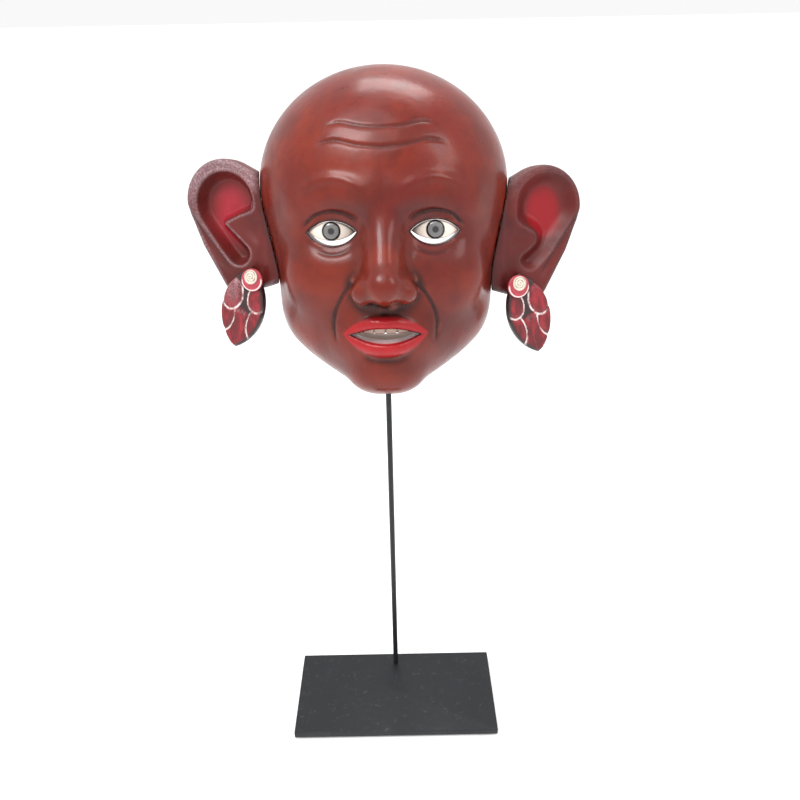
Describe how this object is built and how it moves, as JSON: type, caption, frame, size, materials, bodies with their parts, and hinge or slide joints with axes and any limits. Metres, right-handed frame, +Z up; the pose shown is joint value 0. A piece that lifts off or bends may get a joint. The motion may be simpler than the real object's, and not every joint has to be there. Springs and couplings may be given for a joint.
{
  "type": "carved mask on display stand",
  "caption": "Carved and lacquered wooden mask with large ears and leaf ear drops, on a thin upright rod and a flat base.",
  "frame": {"origin": "centre of the underside of the base, on the table", "axes": "+Z up along the rod, the mask faces -Y, +X is to the right of someone looking at the mask"},
  "size_m": [0.2604, 0.1257, 0.4789],
  "materials": {
    "lacquer_red": "glossy red-brown lacquer",
    "lacquer_maroon": "satin maroon lacquer",
    "paint_crimson": "satin crimson paint",
    "paint_cream": "satin cream paint",
    "iris_grey": "glossy dark grey lacquer",
    "bare_wood": "bare wood",
    "iron_black": "satin blue-black powder coat",
    "steel": "plain steel",
    "leather": "plain",
    "pad_rubber": "matte"
  },
  "bodies": {
    "stand": {"base_pad": "pad_rubber", "base_plate": "iron_black", "base_nut": "steel", "upright_rod": "iron_black"},
    "washer": {"rest_washer": "leather"},
    "mask": {"face_shell": "lacquer_red", "upper_teeth": "paint_cream", "left_eye_inlay": "paint_cream", "right_eye_inlay": "paint_cream", "left_iris": "iris_grey", "right_iris": "iris_grey", "left_ear": "lacquer_maroon", "right_ear": "lacquer_maroon", "left_ear_peg_1": "bare_wood", "left_ear_peg_2": "bare_wood", "right_ear_peg_1": "bare_wood", "right_ear_peg_2": "bare_wood", "left_earring_leaf": "paint_crimson", "right_earring_leaf": "paint_crimson", "left_earring_boss": "paint_crimson", "right_earring_boss": "paint_crimson", "left_earring_pin": "bare_wood", "right_earring_pin": "bare_wood"}
  },
  "joints": [
    {"name": "mask_turn", "type": "hinge", "parent": "stand", "child": "washer", "pos_m": [0, 0.0302, 0.2801], "axis": [0, 0, 1], "continuous": true},
    {"name": "mask_lift", "type": "slide", "parent": "washer", "child": "mask", "axis": [0, 0, 1], "range_m": [0, 0.025]}
  ]
}
